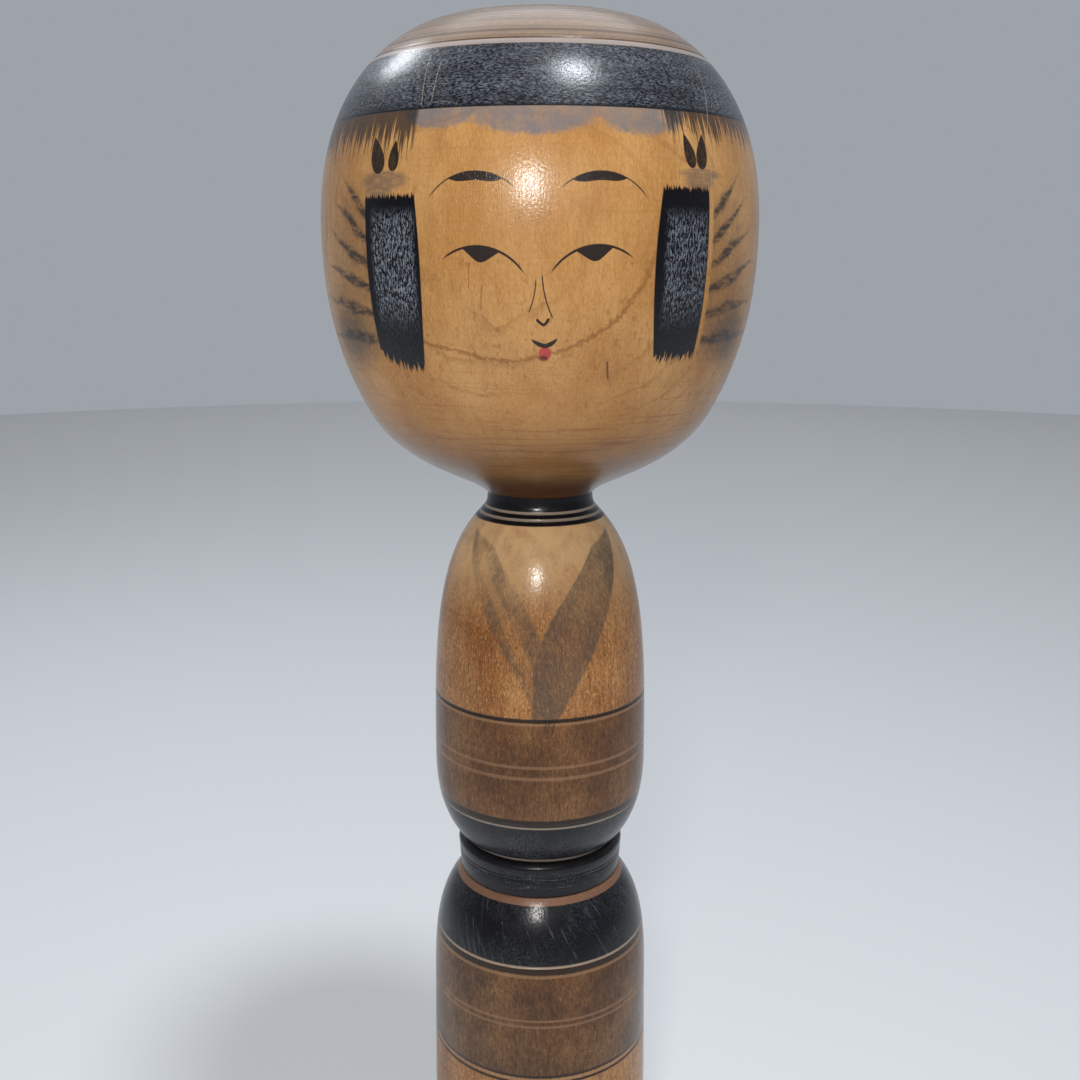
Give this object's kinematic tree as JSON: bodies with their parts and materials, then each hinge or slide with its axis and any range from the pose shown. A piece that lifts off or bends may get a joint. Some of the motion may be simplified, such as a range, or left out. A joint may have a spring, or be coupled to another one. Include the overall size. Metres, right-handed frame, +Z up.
{
  "type": "kokeshi doll",
  "caption": "Turned wooden doll with a big round head that turns on its neck, a waisted body in two joined parts and a loose ring round the waist.",
  "frame": {"origin": "centre of the flat base, on the surface that the doll stands on", "axes": "+Z up along the turning axis, -Y is the side that the painted face looks to, +X is the doll's left"},
  "size_m": [0.135, 0.135, 0.455],
  "materials": {
    "painted_head_wood": "waxed satin, painted in black ink with grey and red details",
    "painted_body_wood": "waxed satin, aged, with thin grey and black painted bands",
    "black_ring": "polished black paint on turned wood",
    "lacquered_body_wood": "polished black shoulder over waxed, aged wood with painted bands"
  },
  "bodies": {
    "body": {"lower_body": "lacquered_body_wood", "torso": "painted_body_wood"},
    "ring": {"waist_ring": "black_ring"},
    "head": {"head": "painted_head_wood"}
  },
  "joints": [
    {"name": "head_turn", "type": "hinge", "parent": "body", "child": "head", "pos_m": [0, 0, 0.3114], "axis": [0, 0, 1], "continuous": true},
    {"name": "ring_turn", "type": "hinge", "parent": "body", "child": "ring", "pos_m": [0, 0, 0.1786], "axis": [0, 0, 1], "continuous": true}
  ]
}
